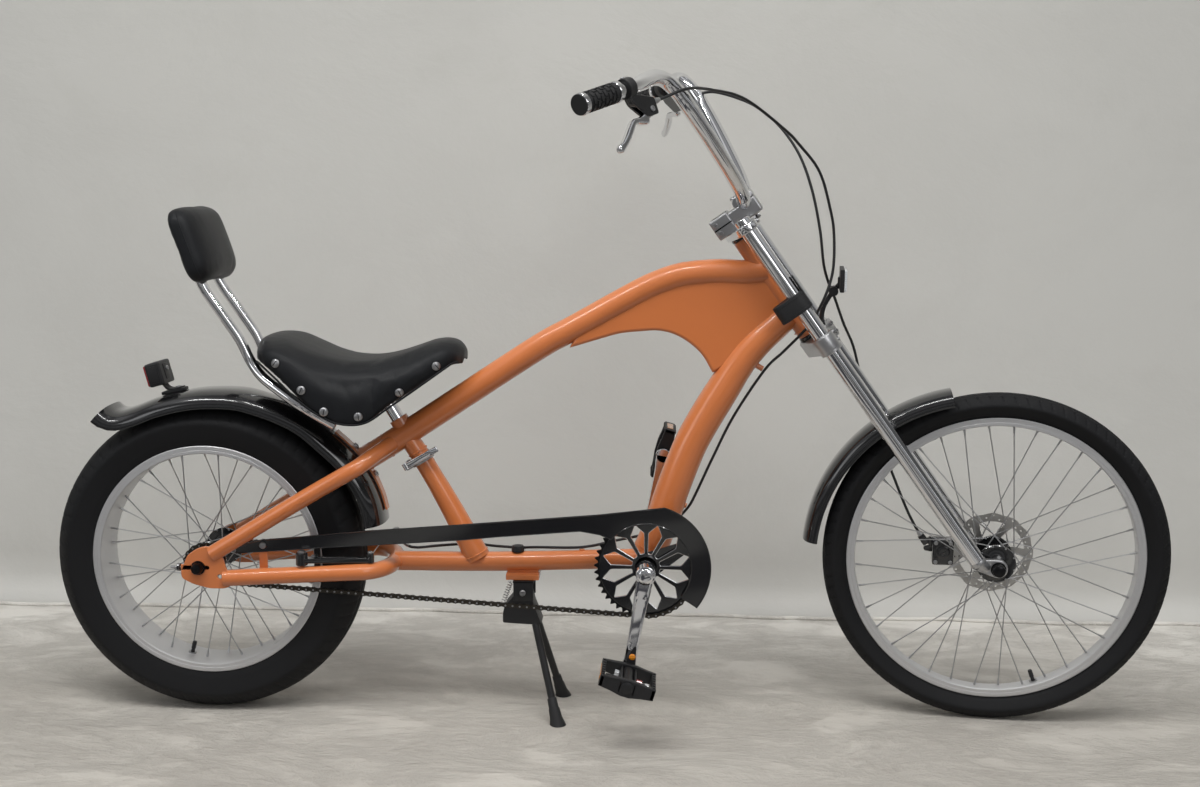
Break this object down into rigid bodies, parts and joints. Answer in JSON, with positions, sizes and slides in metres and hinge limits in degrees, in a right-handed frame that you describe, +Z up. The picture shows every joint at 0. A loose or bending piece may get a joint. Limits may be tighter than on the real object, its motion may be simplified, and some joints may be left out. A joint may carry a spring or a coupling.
{
  "type": "chopper bicycle",
  "caption": "Chopper bicycle with a wide rear tyre, long raked fork, high handlebar, seat with a backrest, one-speed chain drive, rim and disc brakes, and a two-legged stand.",
  "frame": {"origin": "on the ground, in the wheels' middle plane, half way between the ends of the bicycle", "axes": "+X forwards along the bicycle, +Y to the rider's left, +Z up; the chain is on the -Y side"},
  "size_m": [1.9907, 0.8184, 1.1745],
  "materials": {
    "black_leather": "semi-gloss grained covering",
    "satin_aluminium": "satin",
    "steel": "plain, machined",
    "gloss_black": "gloss",
    "chain_steel": "oiled plates and rollers",
    "orange_paint": "gloss with clear coat",
    "black_plastic": "moulded, fine texture",
    "rubber": "matt",
    "white_lens": "moulded prisms, clear",
    "red_lens": "moulded prisms, red",
    "chrome": "polished"
  },
  "bodies": {
    "frame": {"frame": "orange_paint", "seat_clamp": "steel", "rear_fender": "gloss_black", "rear_reflector": "red_lens", "rear_axle": "steel", "bb_cup_right": "steel", "bb_cup_left": "steel", "chain_guard": "gloss_black", "drive_chain": "chain_steel", "rear_brake_cable": "black_plastic", "stand_bracket": "black_plastic", "headset_upper": "black_plastic", "headset_lower": "black_plastic", "stand_spring": "steel"},
    "seat": {"seatpost": "chrome", "seat_pad": "black_leather", "sissy_bar": "chrome", "backrest_pad": "black_leather"},
    "seat_clamp_lever": {"seat_clamp_lever": "chrome"},
    "crankset": {"crank_spindle": "steel", "chainring": "gloss_black", "right_crank": "chrome", "left_crank": "chrome"},
    "right_pedal": {"right_pedal": "black_plastic"},
    "left_pedal": {"left_pedal": "black_plastic"},
    "cog": {"rear_cog": "steel"},
    "rear_wheel": {"rear_hub": "gloss_black", "rear_rim": "satin_aluminium", "rear_tyre": "rubber", "rear_inner_tube": "rubber"},
    "front_wheel": {"front_hub": "gloss_black", "front_rim": "satin_aluminium", "front_tyre": "rubber", "front_inner_tube": "rubber", "brake_rotor": "steel"},
    "fork": {"lower_crown": "satin_aluminium", "upper_crown": "satin_aluminium", "stem": "satin_aluminium", "bar_clamp_cap": "satin_aluminium", "right_leg": "chrome", "left_leg": "chrome", "right_fork_end": "satin_aluminium", "left_fork_end": "satin_aluminium", "handlebar": "chrome", "right_grip": "rubber", "left_grip": "rubber", "right_lever_body": "black_plastic", "left_lever_body": "black_plastic", "front_fender": "gloss_black", "front_reflector": "white_lens", "leg_band": "black_plastic", "front_caliper": "gloss_black", "front_axle": "steel", "front_brake_cable": "black_plastic"},
    "right_brake_lever": {"right_brake_lever": "black_plastic"},
    "left_brake_lever": {"left_brake_lever": "black_plastic"},
    "rear_brake_arm_right": {"rear_brake_arm_right": "gloss_black"},
    "rear_brake_arm_left": {"rear_brake_arm_left": "gloss_black"},
    "caliper_arm": {"caliper_arm": "gloss_black"},
    "kickstand": {"kickstand": "black_plastic"}
  },
  "joints": [
    {"name": "steering", "type": "hinge", "parent": "frame", "child": "fork", "pos_m": [0.65918, 0, 0.2759], "axis": [-0.5843, 0, 0.8116], "range_deg": [-28.5, 41.5], "deforming": ["rear_brake_cable"]},
    {"name": "front_wheel_spin", "type": "hinge", "parent": "fork", "child": "front_wheel", "pos_m": [0.69417, -0.00491, 0.30109], "axis": [0.0919, 0.9936, 0.0661], "continuous": true},
    {"name": "rear_wheel_spin", "type": "hinge", "parent": "frame", "child": "rear_wheel", "pos_m": [-0.7141, 0, 0.282], "axis": [0, 1, 0], "continuous": true},
    {"name": "crank_spin", "type": "hinge", "parent": "frame", "child": "crankset", "pos_m": [0.0753, 0, 0.2883], "axis": [0, 1, 0], "continuous": true},
    {"name": "cog_spin", "type": "hinge", "parent": "frame", "child": "cog", "pos_m": [-0.7141, 0, 0.282], "axis": [0, 1, 0], "continuous": true},
    {"name": "right_pedal_spin", "type": "hinge", "parent": "crankset", "child": "right_pedal", "pos_m": [0.04666, 0, 0.12073], "axis": [0, 1, 0], "continuous": true},
    {"name": "left_pedal_spin", "type": "hinge", "parent": "crankset", "child": "left_pedal", "pos_m": [0.10394, 0, 0.45587], "axis": [0, 1, 0], "continuous": true},
    {"name": "kickstand_fold", "type": "hinge", "parent": "frame", "child": "kickstand", "pos_m": [-0.146, 0, 0.228], "axis": [0, 1, 0], "range_deg": [0, 70], "deforming": ["stand_spring"]},
    {"name": "right_brake_lever_pull", "type": "hinge", "parent": "fork", "child": "right_brake_lever", "pos_m": [0.07355, -0.28643, 1.06801], "axis": [0.6942, -0.6473, 0.3148], "range_deg": [-22, 0], "stiffness_Nm_per_rad": 1, "springref_deg": 11.46},
    {"name": "left_brake_lever_pull", "type": "hinge", "parent": "fork", "child": "left_brake_lever", "pos_m": [0.1261, 0.2819, 1.10584], "axis": [-0.7968, -0.4626, -0.3887], "range_deg": [-22, 0], "stiffness_Nm_per_rad": 1, "springref_deg": 11.46},
    {"name": "rear_brake_arm_right_swing", "type": "hinge", "parent": "frame", "child": "rear_brake_arm_right", "pos_m": [-0.5308, -0.085, 0.286], "axis": [0, 0, 1], "range_deg": [0, 4.2], "deforming": ["rear_brake_cable"]},
    {"name": "rear_brake_arm_left_swing", "type": "hinge", "parent": "frame", "child": "rear_brake_arm_left", "pos_m": [-0.5308, 0.085, 0.286], "axis": [0, 0, 1], "range_deg": [-4.2, 0], "deforming": ["rear_brake_cable"]},
    {"name": "caliper_arm_swing", "type": "hinge", "parent": "fork", "child": "caliper_arm", "pos_m": [0.60878, 0.00306, 0.29999], "axis": [0.0919, 0.9936, 0.0661], "range_deg": [0, 20]},
    {"name": "seat_height", "type": "slide", "parent": "frame", "child": "seat", "axis": [-0.5226, 0, 0.8526], "range_m": [0, 0.04]},
    {"name": "seat_clamp_lever_open", "type": "hinge", "parent": "frame", "child": "seat_clamp_lever", "pos_m": [-0.3547, -0.024, 0.4561], "axis": [-0.5086, 0, 0.861], "range_deg": [-120, 0]}
  ],
  "couplings": [
    {"joint": "cog_spin", "follows": "crank_spin", "ratio": 2.75},
    {"joint": "rear_brake_arm_right_swing", "follows": "right_brake_lever_pull", "ratio": -0.18},
    {"joint": "rear_brake_arm_left_swing", "follows": "right_brake_lever_pull", "ratio": 0.18},
    {"joint": "caliper_arm_swing", "follows": "left_brake_lever_pull", "ratio": -0.8}
  ]
}
